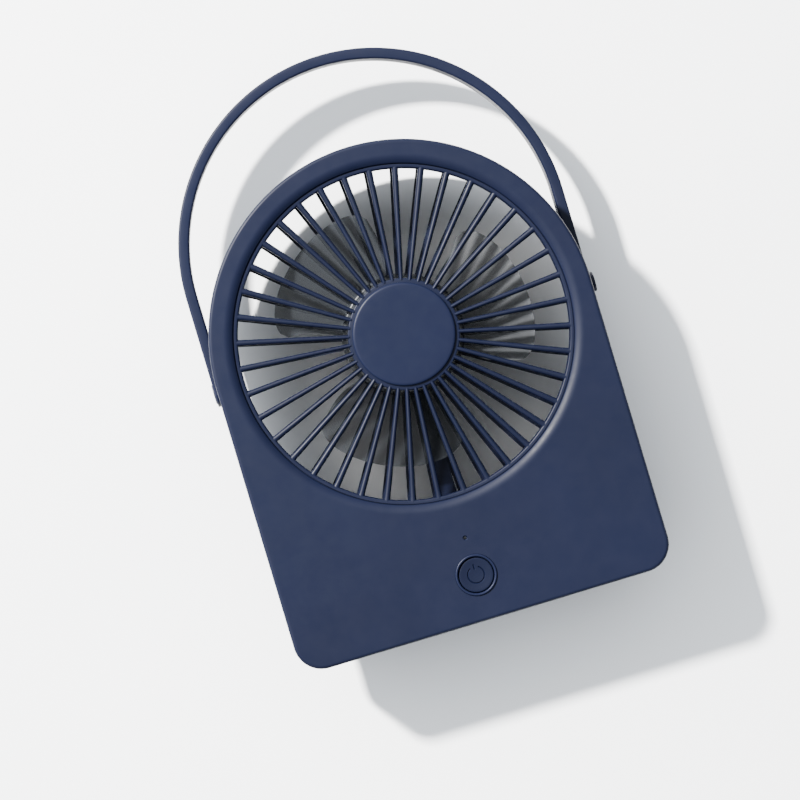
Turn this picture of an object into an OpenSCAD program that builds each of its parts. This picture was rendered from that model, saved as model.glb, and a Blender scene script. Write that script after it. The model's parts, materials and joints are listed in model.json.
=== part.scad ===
// Rechargeable desk fan: a flat, arch-topped case with round radial grilles,
// a three-blade impeller on a brushless motor, and a swinging bail handle.
// +Z is up, the front faces -Y, and the origin is the centre of the footprint.

/* [Body] */
// Width of the case
body_w = 150; // [140:1:160]
// Height of the fan's axis above the table
hub_z = 115; // [113:1:130]
// Depth of the whole case, front to back
body_d = 38; // [38:1:44]
// Depth of the front shell
front_d = 18; // [17:0.5:19]
// How far the rear shell is set in from the front shell at the sides
rear_inset = 3.5; // [3.5:0.1:3.8]
// Radius of the two bottom corners
corner_r = 11; // [8:1:14]
// Radius of the rear shell's two bottom corners
rear_corner_r = 30; // [28:1:32]
// Wall thickness of both shells
wall = 2.2; // [2:0.1:2.4]
// Chamfer around the front face
edge_chamfer = 1.1; // [0.6:0.1:1.4]

/* [Grille] */
// Radius of the round opening in the front shell
opening_r = 65.5; // [64:0.5:66]
// Number of spokes in each grille
spoke_count = 40; // [32:4:48]
// Width of a front spoke at the rim
spoke_w_rim = 2.4; // [1.8:0.1:2.8]
// Width of a front spoke at the hub
spoke_w_hub = 1.6; // [1.2:0.1:2]
// Front-to-back depth of a spoke
spoke_d = 3; // [2:0.2:3.4]
// Radius of the round centre cap
cap_r = 19.9; // [18:0.1:20.5]

/* [Impeller] */
// Number of blades
blade_count = 3; // [2:1:4]
// Radius of the blade tips
blade_r = 51.5; // [46:0.5:56]
// Angle that one blade covers at its tip
blade_arc = 75; // [60:1:78]
// Pitch of the blades
blade_pitch = 16; // [10:1:18]
// Thickness of a blade
blade_t = 1.4; // [1:0.1:2]

/* [Handle] */
// Thickness of the handle strap
strap_t = 4.4; // [3.6:0.1:5]
// Front-to-back depth of the handle strap
strap_d = 10.5; // [8:0.5:11]
// Straight length of each arm above its pivot
arm_len = 37.2; // [30:0.2:44]
// Gap between the case's side and each arm
arm_gap = 0.8; // [0.7:0.1:1]

/* [Controls] */
// Height of the power button's centre
button_z = 18.6; // [18:0.1:22]
// Diameter of the power button
button_d = 13.5; // [12:0.5:14]
// Travel of the power button
button_travel = 0.6; // [0.3:0.1:0.7]
// Height of the pilot light's pinhole
led_z = 33.4; // [33:0.1:36]

/* [Battery] */
// Diameter of a battery cell
cell_d = 18.4; // [18:0.1:18.6]
// Length of a battery cell
cell_l = 65; // [60:0.5:66]

/* [Hidden] */
$fn = 96;

navy = [0.17, 0.21, 0.34];
navy_light = [0.2, 0.24, 0.38];
smoke = [0.62, 0.64, 0.66, 0.7];
steel = [0.7, 0.71, 0.73];
brass_tone = [0.78, 0.62, 0.32];
board_green = [0.1, 0.35, 0.2];
rubber_black = [0.09, 0.09, 0.11];

half_w = body_w / 2;
rear_half_w = half_w - rear_inset;
y_front = -body_d / 2;
y_split = y_front + front_d;
y_back = body_d / 2;
pad_proud = 0.6;
pad_t = 1.6;
pad_end_x = 29;
pad_end_r = 12;
pad_groove_step = 11;
pad_groove_l = 16;
pad_groove_w = 1;
pad_groove_d = 0.3;
z_base = pad_proud;
face_t = 2.6;
back_t = 2.4;
fit_gap = 0.15;
tongue = 3;
cut = 1;

lip_w = 3.5;
lip_depth = 1;
grille_r = opening_r - 0.2;
ring_w = 1.5;
grille_flange_r = opening_r + 1.6;
skirt_in = opening_r + 1.8;
skirt_t = 1.6;
spoke_y = y_front + 1.4;
grille_hub_r = cap_r + 1.7;
dish_r = cap_r - 2.2;
dish_t = 1.4;
cap_collar_t = 1.5;
cap_bevel = 0.4;
flange_t = 1.6;
spoke_step = 360 / spoke_count;
first_spoke = spoke_step / 2;

duct_in = opening_r + 3.7;
duct_t = 1.6;
rear_opening_r = opening_r + 2.9;
rear_ring_r = rear_opening_r - 0.2;
rear_ring_w = 1.3;
rear_spoke_y = y_back - 3.6;
rear_spoke_d = 3;
rear_spoke_w = 2;
cable_rib_w = 6.6;
seat_r = 21.4;

hub_outer_r = 23.6;
hub_wall = 1.5;
hub_y_front = y_front + 6.6;
hub_y_back = 5.6;
rotor_r = hub_outer_r - hub_wall - 0.05;
rotor_t = 1;
magnet_out = rotor_r - rotor_t - 0.05;
magnet_in = magnet_out - 2.2;
rotor_y = hub_y_front + 1.6;
stator_r = magnet_in - 0.5;
stator_y = -5.2;
stator_l = 8;
tooth_count = 9;
tube_r = 4.6;
tube_y = stator_y - 1.4;
core_r = 9;
tooth_w = 2.2;
tooth_tip_t = 1.6;
coil_w = 4.2;
coil_h = 5.2;
coil_z = 9.4;
motor_board_r = 19;
motor_board_y = 7.6;
bearing_r = 3;
shaft_r = 1.5;
shaft_gap = 0.03;
base_y = 11.2;
base_t = 1.6;
base_r = 20.6;
screw_ring_r = 17.6;
motor_screw_r = 0.83;
motor_screw_head_r = 1.8;
clip_r = 2.4;
clip_t = 0.5;
bearing_l = 5;
lead_r = 0.5;
lead_y = base_y + base_t + 0.75;
lead_turn_z = hub_z - duct_in - 2.5;
lead_plug_y = -7.4;
lead_top = 17.6;
lead_xs = [-1.3, 0, 1.3];
wire_notch_w = 5.2;

outer_strap_r = rear_half_w + arm_gap + strap_t;
inner_strap_r = rear_half_w + arm_gap;
strap_set_back = 4;
pivot_y = y_split + strap_set_back + strap_d / 2;
pivot_z = hub_z - 1.2;
pin_r = 2.2;
pin_gap = 0.05;
pin_head_x = 1.75;
pin_head_r = pin_r + 0.9;
washer_r = pin_r + 1.9;
pivot_cap_proud = [1.9, 0.4];
pivot_cap_r = 3.9;
pivot_cap_sunk = 0.9;
strap_tail = 20;

button_r = button_d / 2;
mark_r = 3.1;
mark_w = 0.5;
bezel_in = button_r + 0.25;
bezel_out = bezel_in + 1.1;
bezel_proud = 0.6;
bezel_flange_w = 1.2;
bezel_flange_t = 1;
stem_r = 1.5;
mark_depth = 0.35;
board_y = y_front + 8.6;
board_t = 1.6;
board_w = 56;
board_z0 = 8;
board_z1 = 40;
switch_w = 6;
switch_d = 3.4;
switch_face_y = board_y - switch_d;
plunger_r = 1.7;
plunger_gap = 0.06;
led_r = 0.55;
pipe_r = 1.4;
led_size = [2, 1, 1.2];
board_screw_x = 22;
board_screw_z = 24;
board_boss_r = 2.6;
board_screw_r = 0.88;
board_screw_head_r = 1.8;
board_pilot_y = y_front + 3;

screw_x = 61.5;
screw_rows = [15, 60];
boss_r = 3.6;
screw_r = 1.25;
screw_head_r = 2.5;
screw_head_t = 2.2;
screw_recess_r = 0.9;
plug_t = 2.3;
screw_head_y = y_back - 8;
screw_tip_y = y_front + 7;

cell_y = 4.6;
cell_tip_d = 6;
cell_tip_l = 0.9;
holder_t = 1.8;
holder_wall_h = 38;
holder_back_h = 34;
strip_t = 0.5;
strip_w = 5;
battery_lead_r = 0.6;
battery_lead_z = 39.2;
cell_rows = [14.6, 33.4];
usb_x = 48;
usb_z = 15;
usb_w = 9;
usb_h = 3.3;
usb_l = 7.4;
usb_tongue_w = 6.4;
usb_tongue_t = 0.7;
usb_board_t = 1.2;
usb_rib_h = 5.4;
usb_rib_t = 1.6;
usb_rib_x = 6;
usb_board_w = 16;
usb_board_l = 11;
usb_board_z = usb_z - usb_h / 2 - usb_board_t;

// ---------- helpers ----------

// Extrudes a front-view outline from y0 at the front to y1 at the back
module slab(y0, y1) {
    translate([0, y1, 0])
        rotate([90, 0, 0])
            linear_extrude(y1 - y0) children();
}

// A round bar along Y, from y0 to y1
module rod(r, y0, y1) {
    translate([0, y1, 0])
        rotate([90, 0, 0])
            cylinder(r = r, h = y1 - y0);
}

// A ring along Y, from y0 to y1
module ring(r_out, r_in, y0, y1) {
    difference() {
        rod(r_out, y0, y1);
        rod(r_in, y0 - cut, y1 + cut);
    }
}

module at_hub() {
    translate([0, 0, hub_z]) children();
}

// Arch-topped outline, w wide each side of the centre line, with round bottom corners
module arch_outline(w, corner, z0) {
    translate([0, hub_z]) circle(w);
    translate([-w, z0 + corner]) square([2 * w, hub_z - z0 - corner]);
    translate([-w + corner, z0]) square([2 * w - 2 * corner, corner + cut]);
    for (side = [-1, 1])
        translate([side * (w - corner), z0 + corner]) circle(corner);
}

// Section of the cutter that bevels an edge, for an edge at r from the cutter's own axis
module bevel_section(r) {
    polygon([[r - edge_chamfer - cut, -cut], [r + cut, -cut], [r + cut, edge_chamfer + cut]]);
}

// Cutter that bevels the front edge all round the arch, the sides, the corners and the bottom
module edge_cutter() {
    translate([0, y_front, 0]) {
        at_hub() rotate([-90, 0, 0]) rotate_extrude(angle = -180) bevel_section(half_w);
        for (side = [0, 1])
            mirror([side, 0, 0]) {
                translate([0, 0, z_base + corner_r])
                    linear_extrude(hub_z - z_base - corner_r) bevel_section(half_w);
                translate([half_w - corner_r, 0, z_base + corner_r]) rotate([-90, 0, 0])
                    rotate_extrude(angle = 90) bevel_section(corner_r);
            }
        translate([corner_r - half_w, 0, z_base + corner_r]) rotate([0, 90, 0])
            linear_extrude(2 * half_w - 2 * corner_r) bevel_section(corner_r);
    }
}

module corners_at(rows) {
    for (side = [-1, 1])
        for (z = rows)
            translate([side * screw_x, 0, z]) children();
}

// ---------- case ----------

// Front half of the case: the face, its rolled opening, the side wall and the bosses
module front_shell() {
    color(navy)
    difference() {
        union() {
            difference() {
                slab(y_front, y_split) arch_outline(half_w, corner_r, z_base);
                slab(y_front + face_t, y_split + cut)
                    arch_outline(half_w - wall, corner_r - wall, z_base + wall);
            }
            at_hub() ring(skirt_in + skirt_t, skirt_in - cut, y_front + cut, y_split - tongue - 0.2);
            corners_at(screw_rows) rod(boss_r, y_front + cut, y_split - 1.6);
            for (side = [-1, 1])
                translate([side * board_screw_x, 0, board_screw_z]) rod(board_boss_r, y_front + cut, board_y);
        }
        at_hub() rod(opening_r, y_front - cut, y_split + cut);
        at_hub() rod(skirt_in, y_front + face_t, y_split + cut);
        at_hub() translate([0, y_front, 0]) rotate([-90, 0, 0])
            translate([0, 0, -0.01]) cylinder(r1 = opening_r + lip_w, r2 = opening_r, h = lip_depth);
        translate([0, 0, button_z]) rod(bezel_out + 0.05, y_front - cut, y_front + face_t + cut);
        translate([0, 0, led_z]) rod(led_r + 0.05, y_front - cut, y_front + face_t + cut);
        corners_at(screw_rows) rod(screw_r, screw_tip_y - 0.5, y_split);
        for (side = [-1, 1])
            translate([side * board_screw_x, 0, board_screw_z])
                rod(board_screw_r + 0.02, board_pilot_y, board_y + cut);
        edge_cutter();
        pad_pocket();
    }
}

// Rear half of the case, narrower than the front, with the round air duct
module rear_shell() {
    color(navy)
    difference() {
        union() {
            difference() {
                union() {
                    slab(y_split, y_back) arch_outline(rear_half_w, rear_corner_r, z_base);
                    slab(y_split - tongue, y_split)
                        arch_outline(half_w - wall - fit_gap, corner_r - wall, z_base + wall + fit_gap);
                }
                difference() {
                    slab(y_split - tongue - cut, y_back - back_t)
                        arch_outline(rear_half_w - wall, rear_corner_r - wall, z_base + 2 * wall);
                    at_hub() rod(duct_in + duct_t, y_split - tongue - 2, y_back);
                }
            }
            corners_at(screw_rows) rod(boss_r, y_split - 1.4, y_back - cut);
            for (side = [-1, 1])
                translate([usb_x + side * usb_rib_x - usb_rib_t / 2, y_back - back_t - usb_board_l,
                    usb_board_z - usb_rib_h])
                    cube([usb_rib_t, usb_board_l + cut, usb_rib_h]);
        }
        at_hub() rod(duct_in, y_split - tongue - 2, y_back - back_t);
        at_hub() rod(rear_opening_r, y_back - back_t - cut, y_back + cut);
        corners_at(screw_rows) rod(boss_r + fit_gap, y_split - tongue - cut, y_split - 1.5);
        corners_at(screw_rows) rod(screw_r + 0.3, y_split - tongue, y_back + cut);
        corners_at(screw_rows) rod(screw_head_r + 0.3, screw_head_y - screw_head_t, y_back + cut);
        translate([0, pivot_y, pivot_z]) rotate([0, 90, 0])
            cylinder(r = pin_r, h = body_w + 10, center = true);
        translate([usb_x, 0, usb_z]) slab(y_back - back_t - cut, y_back + cut)
            usb_outline(0.25);
        at_hub() translate([-cable_rib_w / 2 + 1, y_back - 7, -duct_in - 4])
            cube([cable_rib_w - 2, 4, 8]);
        pad_pocket();
    }
}

module usb_outline(grow) {
    r = usb_h / 2;
    square([usb_w - usb_h, usb_h + 2 * grow], center = true);
    for (side = [-1, 1])
        translate([side * (usb_w / 2 - r), 0]) circle(r + grow);
}

// Outline of the pad, smaller all round by the given amount
module pad_shape(shrink) {
    for (side = [-1, 1])
        translate([side * pad_end_x, 0]) circle(pad_end_r - shrink);
    square([2 * pad_end_x, 2 * pad_end_r - 2 * shrink], center = true);
}

module pad_pocket() {
    translate([0, 0, z_base - cut])
        linear_extrude(pad_t - pad_proud + cut) pad_shape(0);
}

// Rubber pad that the fan stands on
module base_pad() {
    color(rubber_black)
    difference() {
        linear_extrude(pad_t) pad_shape(fit_gap);
        for (i = [-3 : 3])
            translate([i * pad_groove_step - pad_groove_w / 2, -pad_groove_l / 2, -cut])
                cube([pad_groove_w, pad_groove_l, cut + pad_groove_d]);
    }
}

// Self-tapping screws that hold the two shells together from behind
module case_screws() {
    color(steel)
    corners_at(screw_rows) {
        rod(screw_r - 0.02, screw_tip_y, screw_head_y - screw_head_t);
        difference() {
            rod(screw_head_r, screw_head_y - screw_head_t, screw_head_y);
            rod(screw_recess_r, screw_head_y - 1, screw_head_y + cut);
        }
    }
}

// Soft plugs over the screws
module screw_plugs() {
    color(navy_light)
    corners_at(screw_rows) rod(screw_head_r + 0.25, y_back - 0.2 - plug_t, y_back - 0.2);
}

// ---------- grilles ----------

module spoke(w0, w1, r0, r1, y0, y1) {
    slab(y0, y1)
        polygon([[-w0 / 2, r0], [w0 / 2, r0], [w1 / 2, r1], [-w1 / 2, r1]]);
}

// Solid turned about the fan's axis from points [radius, y]
module turned(points) {
    rotate([-90, 0, 0]) rotate_extrude() polygon(points);
}

// Front grille: a rim with a flange that seats behind the face, the spokes and a centre dish
module front_grille() {
    rim_in = grille_r - ring_w;
    rim_back = spoke_y + 4.4;
    seat_y = y_front + face_t;
    dish_y = spoke_y + spoke_d - 0.2;
    color(navy)
    at_hub() {
        turned([[rim_in, spoke_y + 0.3], [grille_r, y_front + lip_depth], [grille_r, seat_y],
            [grille_flange_r, seat_y], [grille_flange_r, seat_y + flange_t], [grille_r, seat_y + flange_t],
            [grille_r, rim_back], [rim_in, rim_back]]);
        turned([[0, dish_y], [dish_r, dish_y], [dish_r, spoke_y + 0.3],
            [grille_hub_r, spoke_y + 0.3], [grille_hub_r, dish_y + dish_t], [0, dish_y + dish_t]]);
        for (i = [0 : spoke_count - 1])
            rotate([0, first_spoke + i * spoke_step, 0])
                spoke(spoke_w_hub, spoke_w_rim, grille_hub_r - 0.6, grille_r - ring_w / 2,
                    spoke_y, spoke_y + spoke_d);
    }
}

// Smooth round cap over the grille's centre
module grille_cap() {
    color(navy)
    at_hub() {
        difference() {
            rod(cap_r, y_front + 0.5, spoke_y + 0.3);
            translate([0, y_front + 0.5, 0]) rotate([-90, 0, 0])
                difference() {
                    translate([0, 0, -cut]) cylinder(r = cap_r + cut, h = cut + cap_bevel);
                    translate([0, 0, -0.01])
                        cylinder(r1 = cap_r - cap_bevel, r2 = cap_r, h = cap_bevel + 0.02);
                }
        }
        ring(dish_r - 0.2, dish_r - 0.2 - cap_collar_t, spoke_y + 0.2, spoke_y + spoke_d - 0.3);
    }
}

// Rear grille: the spokes, the wide rib that hides the wires, and the motor's seat
module rear_grille() {
    rim_in = rear_ring_r - rear_ring_w;
    rim_front = rear_spoke_y - 0.6;
    spoke_end = rear_ring_r - rear_ring_w / 2;
    seat_y = base_y + base_t;
    color(navy)
    difference() {
        at_hub() {
            turned([[rim_in, rim_front], [duct_in - fit_gap, rim_front], [duct_in - fit_gap, y_back - back_t],
                [rear_ring_r, y_back - back_t], [rear_ring_r, y_back - 0.4], [rim_in, y_back - 0.4]]);
            rod(seat_r, seat_y, y_back - 0.3);
            for (i = [0 : spoke_count - 1])
                rotate([0, first_spoke + i * spoke_step, 0])
                    spoke(rear_spoke_w, rear_spoke_w, seat_r - 0.6, spoke_end,
                        rear_spoke_y, rear_spoke_y + rear_spoke_d);
            rotate([0, 180, 0])
                spoke(cable_rib_w, cable_rib_w, seat_r - 1.5, spoke_end - 0.2,
                    seat_y + 0.2, rear_spoke_y + rear_spoke_d + 0.1);
        }
        at_hub() translate([-2, seat_y - cut, -duct_in - 2])
            cube([4, cut + 1.6, duct_in - 14]);
        motor_screw_places() rod(motor_screw_r + 0.02, base_y, y_back - 1.6);
    }
}

// ---------- impeller and motor ----------

// One flat petal, pitched about its own middle radius
module blade() {
    intersection() {
        rotate([0, 0, -blade_pitch])
            translate([-blade_r, -blade_t / 2, 0]) cube([2 * blade_r, blade_t, blade_r + cut]);
        slab(-14, 14) petal();
    }
}

// Petal outline between the hub and the blade's tip circle
module petal() {
    intersection() {
        difference() {
            circle(blade_r);
            circle(hub_outer_r - 1);
        }
        union() {
            polygon([[0, 0],
                for (i = [-4 : 4])
                    let (a = i * blade_arc / 8)
                        [1.3 * blade_r * sin(a), 1.3 * blade_r * cos(a)]]);
        }
    }
}

// Clear smoky impeller: a cup that covers the rotor, with three wide petals
module impeller() {
    color(smoke)
    at_hub() {
        difference() {
            union() {
                rod(hub_outer_r, hub_y_front, hub_y_back);
                for (i = [0 : blade_count - 1])
                    rotate([0, 83 + i * 360 / blade_count, 0])
                        translate([0, -1.5, 0]) blade();
            }
            rod(hub_outer_r - hub_wall, hub_y_front + 1.6, 14);
            rod(shaft_r + 2.1, hub_y_front - cut, hub_y_front + 3);
        }
        ring(shaft_r + 2.2, shaft_r, hub_y_front + 0.4, hub_y_front + 1.6);
    }
}

// Steel rotor cup pressed inside the impeller
module rotor_cup() {
    color(steel)
    at_hub() {
        ring(rotor_r, rotor_r - rotor_t, rotor_y, hub_y_back - 0.6);
        ring(rotor_r - 0.2, shaft_r, rotor_y, rotor_y + rotor_t);
    }
}

module magnet_ring() {
    color([0.25, 0.25, 0.26])
    at_hub() ring(magnet_out, magnet_in, stator_y - 1, stator_y + stator_l + 1);
}

module motor_shaft() {
    color(steel)
    at_hub() {
        rod(shaft_r - 0.01, hub_y_front + 0.5, base_y + 1.4);
    }
}

// Clip that keeps the shaft in its bearings
module shaft_clip() {
    color(steel)
    at_hub() ring(clip_r, shaft_r, base_y - 0.4, base_y - 0.4 + clip_t);
}

// Motor base plate with the bearing tube
module motor_base() {
    color(steel)
    difference() {
        at_hub() {
            ring(base_r, tube_r - 0.5, base_y, base_y + base_t);
            ring(tube_r, bearing_r, tube_y, base_y + 0.2);
        }
        motor_screw_places() rod(motor_screw_r + 0.27, base_y - cut, base_y + base_t + cut);
        at_hub() translate([-wire_notch_w / 2, base_y - cut, -base_r - cut])
            cube([wire_notch_w, base_t + 2 * cut, wire_notch_w]);
    }
}

module motor_screw_places() {
    for (i = [0 : 2])
        at_hub() rotate([0, i * 120, 0]) translate([0, 0, screw_ring_r]) children();
}

module motor_screws() {
    color(steel)
    motor_screw_places() {
        rod(motor_screw_r, base_y - 0.2, base_y + 5);
        rod(motor_screw_head_r, base_y - 1.3, base_y);
    }
}

// Two plain bearings in the ends of the tube
module motor_bearings() {
    color(brass_tone)
    at_hub() {
        ring(bearing_r, shaft_r + shaft_gap, tube_y, tube_y + bearing_l);
        ring(bearing_r, shaft_r + shaft_gap, base_y - 0.6 - bearing_l, base_y - 0.6);
    }
}

// Laminated core with its wound teeth
module stator_core() {
    color([0.45, 0.46, 0.48])
    at_hub()
        slab(stator_y, stator_y + stator_l)
            difference() {
                union() {
                    circle(core_r);
                    for (i = [0 : tooth_count - 1])
                        rotate(i * 360 / tooth_count) {
                            translate([-tooth_w / 2, core_r - 2]) square([tooth_w, stator_r - core_r + 1]);
                            intersection() {
                                difference() {
                                    circle(stator_r);
                                    circle(stator_r - tooth_tip_t);
                                }
                                polygon([[0, 0], [-5.6, 20], [5.6, 20]]);
                            }
                        }
                }
                circle(tube_r + 0.02);
            }
}

// Copper coil around each tooth
module stator_coils() {
    color([0.72, 0.42, 0.2])
    at_hub()
        for (i = [0 : tooth_count - 1])
            rotate([0, i * 360 / tooth_count, 0])
                difference() {
                    translate([-coil_w / 2, stator_y - 1, coil_z]) cube([coil_w, stator_l + 2, coil_h]);
                    translate([-tooth_w / 2 - 0.05, stator_y - 0.05, core_r])
                        cube([tooth_w + 0.1, stator_l + 0.1, coil_h + 0.8]);
                }
}

// Round drive board under the stator
module motor_board() {
    color(board_green)
    at_hub() ring(motor_board_r, tube_r + 0.3, motor_board_y, motor_board_y + 1.2);
}

// Three wires from the motor board, down the rib, under the duct and forward to the main board
module motor_leads() {
    color("black")
    for (x = lead_xs)
        translate([x, 0, 0]) {
            translate([0, 0, hub_z - lead_top]) rod(lead_r, motor_board_y + 1.2, lead_y + lead_r);
            translate([0, lead_y, lead_turn_z - lead_r])
                cylinder(r = lead_r, h = hub_z - lead_top + 2 * lead_r - lead_turn_z);
            translate([0, 0, lead_turn_z]) rod(lead_r, lead_plug_y - lead_r, lead_y + lead_r);
            translate([0, lead_plug_y, board_z1]) cylinder(r = lead_r, h = lead_turn_z + lead_r - board_z1);
        }
}

// ---------- handle ----------

// Front view of the strap: two straight arms under a half circle
module strap_outline() {
    difference() {
        union() {
            translate([0, hub_z + arm_len]) circle(outer_strap_r);
            translate([-outer_strap_r, hub_z - strap_tail]) square([2 * outer_strap_r, arm_len + strap_tail]);
        }
        translate([0, hub_z + arm_len]) circle(inner_strap_r);
        translate([-inner_strap_r, hub_z - strap_tail - cut])
            square([2 * inner_strap_r, arm_len + strap_tail + cut]);
    }
}

// Side view of the strap, with round ends about the pivot
module strap_side() {
    rotate([0, 90, 0])
        cylinder(r = strap_d / 2, h = 3 * half_w, center = true);
    translate([-1.5 * half_w, -strap_d / 2, 0]) cube([3 * half_w, strap_d, 2 * half_w]);
}

// Bail handle that swings from upright to behind the case
module handle() {
    color(navy)
    difference() {
        intersection() {
            slab(pivot_y - strap_d, pivot_y + strap_d) strap_outline();
            translate([0, pivot_y, pivot_z]) strap_side();
        }
        translate([0, pivot_y, pivot_z]) rotate([0, 90, 0])
            cylinder(r = pin_r + pin_gap, h = 4 * half_w, center = true);
        for (side = [-1, 1])
            translate([side * (outer_strap_r + 0.2), pivot_y, pivot_z]) rotate([0, 90, 0])
                cylinder(r = pivot_cap_r - 0.5, h = 4, center = true);
    }
}

module both_pivots(x0, x1) {
    for (side = [0, 180])
        translate([0, pivot_y, pivot_z]) rotate([0, 0, side]) translate([x0, 0, 0])
            rotate([0, 90, 0]) linear_extrude(x1 - x0) children();
}

// Steel pins that carry the handle
module pivot_pins() {
    color(steel) {
        both_pivots(duct_in + 0.3, outer_strap_r - pin_head_x) circle(pin_r);
        both_pivots(outer_strap_r - pin_head_x - 0.01, outer_strap_r - 1) circle(pin_head_r);
    }
}

// Friction washers between the arms and the case
module pivot_washers() {
    color(rubber_black)
    both_pivots(rear_half_w, inner_strap_r - 0.05)
        difference() {
            circle(washer_r);
            circle(pin_r);
        }
}

// Round caps that close the pivot holes; the right one stands out more than the left one
module pivot_caps() {
    color(navy_light)
    translate([0, pivot_y, pivot_z])
        for (side = [0, 1])
            mirror([side, 0, 0]) rotate([0, 90, 0]) {
                translate([0, 0, outer_strap_r]) cylinder(r = pivot_cap_r, h = pivot_cap_proud[side]);
                translate([0, 0, outer_strap_r - pivot_cap_sunk])
                    cylinder(r = pivot_cap_r - 0.55, h = pivot_cap_sunk + 0.1);
            }
}

// ---------- controls ----------

// Power button: a dished cap with a stem that meets the switch
module power_button() {
    color(navy)
    translate([0, 0, button_z])
        difference() {
            union() {
                rod(button_r, y_front + 0.2, y_front + 2.8);
                rod(button_r - 2, y_front + 2, y_front + 3.6);
                rod(stem_r, y_front + 3, switch_face_y - button_travel);
            }
            power_mark();
        }
}

// Plain power mark: a broken ring and a bar, cut into the cap
module power_mark() {
    slab(y_front - cut, y_front + mark_depth) {
        difference() {
            circle(mark_r);
            circle(mark_r - mark_w);
            polygon([[0, 0], [-2, 4], [2, 4]]);
        }
        translate([-mark_w / 2, mark_r - 1.4]) square([mark_w, 2]);
    }
}

module button_bezel() {
    color(navy_light)
    translate([0, 0, button_z]) {
        ring(bezel_out, bezel_in, y_front - bezel_proud, y_front + face_t);
        ring(bezel_out + bezel_flange_w, bezel_in, y_front + face_t, y_front + face_t + bezel_flange_t);
    }
}

// Tactile switch behind the button
module tact_switch() {
    color("dimgray")
    difference() {
        translate([-switch_w / 2, switch_face_y, button_z - switch_w / 2])
            cube([switch_w, switch_d, switch_w]);
        translate([0, 0, button_z])
            rod(plunger_r + plunger_gap, switch_face_y - cut, switch_face_y + 2.4);
    }
}

module switch_plunger() {
    color("black")
    translate([0, 0, button_z]) rod(plunger_r, switch_face_y - button_travel + 0.02, switch_face_y + 1.6);
}

// Clear rod that brings the pilot light to the pinhole
module light_pipe() {
    color([0.9, 0.95, 1, 0.7])
    translate([0, 0, led_z]) {
        rod(led_r, y_front + 1.5, y_front + face_t);
        rod(pipe_r, y_front + face_t, board_y - led_size[1] - 0.1);
    }
}

module led() {
    color("white")
    translate([-led_size[0] / 2, board_y - led_size[1], led_z - led_size[2] / 2])
        cube(led_size);
}

// Main circuit board behind the button
module control_board() {
    color(board_green)
    difference() {
        translate([-board_w / 2, board_y, board_z0]) cube([board_w, board_t, board_z1 - board_z0]);
        for (side = [-1, 1])
            translate([side * board_screw_x, 0, board_screw_z])
                rod(board_screw_r + 0.22, board_y - cut, board_y + board_t + cut);
    }
}

// Charger and driver chips on the board
module board_chips() {
    color([0.12, 0.12, 0.13]) {
        translate([8, board_y - 1.4, 12]) cube([6, 1.4, 5]);
        translate([-15, board_y - 1.6, 27]) cube([5, 1.6, 5]);
        translate([12, board_y - 2.4, 31]) cube([4.6, 2.4, 4.6]);
        translate([-14, board_y - 1.2, 13]) cube([3.2, 1.2, 1.6]);
        translate([-4, board_y + board_t, board_z1 - 5]) cube([8, 2.8, 5]);
    }
}

module board_screws() {
    color(steel)
    for (side = [-1, 1])
        translate([side * board_screw_x, 0, board_screw_z]) {
            rod(board_screw_r, board_pilot_y + 0.6, board_y + board_t + 0.1);
            rod(board_screw_head_r, board_y + board_t, board_y + board_t + 1.2);
        }
}

// ---------- battery and charging ----------

module battery_cells() {
    color([0.2, 0.42, 0.62])
    for (z = cell_rows)
        translate([0, cell_y, z]) rotate([0, 90, 0]) {
            cylinder(d = cell_d, h = cell_l - 1.6, center = true);
            translate([0, 0, cell_l / 2 - cell_tip_l]) cylinder(d = cell_tip_d, h = cell_tip_l);
        }
}

// Tray that holds the cells between two end walls
module battery_holder() {
    color([0.15, 0.15, 0.16])
    difference() {
        union() {
            for (side = [-1, 1])
                translate([side * (cell_l / 2 + 1.9) - holder_t / 2, cell_y - 8, z_base + 2 * wall])
                    cube([holder_t, y_back - back_t - cell_y + 8, holder_wall_h]);
            translate([-cell_l / 2 - 2, y_back - back_t - holder_t, z_base + 2 * wall])
                cube([cell_l + 4, holder_t, holder_back_h]);
        }
        for (z = cell_rows)
            translate([0, cell_y, z]) rotate([0, 90, 0])
                cylinder(d = cell_d + 0.4, h = cell_l + 0.6, center = true);
    }
}

// Nickel strips that join the cells at each end
module battery_contacts() {
    color([0.8, 0.8, 0.78])
    for (side = [-1, 1])
        translate([side * (cell_l / 2 + 0.4) - strip_t / 2, cell_y - strip_w / 2, cell_rows[0] - 2])
            cube([strip_t, strip_w, battery_lead_z + 2.4 - cell_rows[0]]);
}

// Leads from the cells to the control board
module battery_leads() {
    color([0.7, 0.1, 0.1])
    for (side = [-1, 1])
        translate([side * (cell_l / 2 + 0.2), 0, battery_lead_z]) {
            rod(battery_lead_r, board_y + board_t, cell_y - strip_w / 2);
            translate([-side * 3 - 3.6, board_y + board_t + battery_lead_r, 0]) rotate([0, 90, 0])
                cylinder(r = battery_lead_r, h = 7.2);
        }
}

// Charging socket in the back
module usb_port() {
    color(steel)
    translate([usb_x, 0, usb_z]) {
        difference() {
            slab(y_back - 0.6 - usb_l, y_back - 0.4) usb_outline(0);
            slab(y_back - usb_l, y_back) usb_outline(-0.35);
        }
        translate([-usb_tongue_w / 2, y_back - usb_l - 0.3, -usb_tongue_t / 2])
            cube([usb_tongue_w, usb_l - 1.8, usb_tongue_t]);
    }
}

// Small board under the charging socket
module usb_board() {
    color(board_green)
    translate([usb_x - usb_board_w / 2, y_back - back_t - usb_board_l - 0.2, usb_board_z])
        cube([usb_board_w, usb_board_l, usb_board_t]);
}

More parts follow.
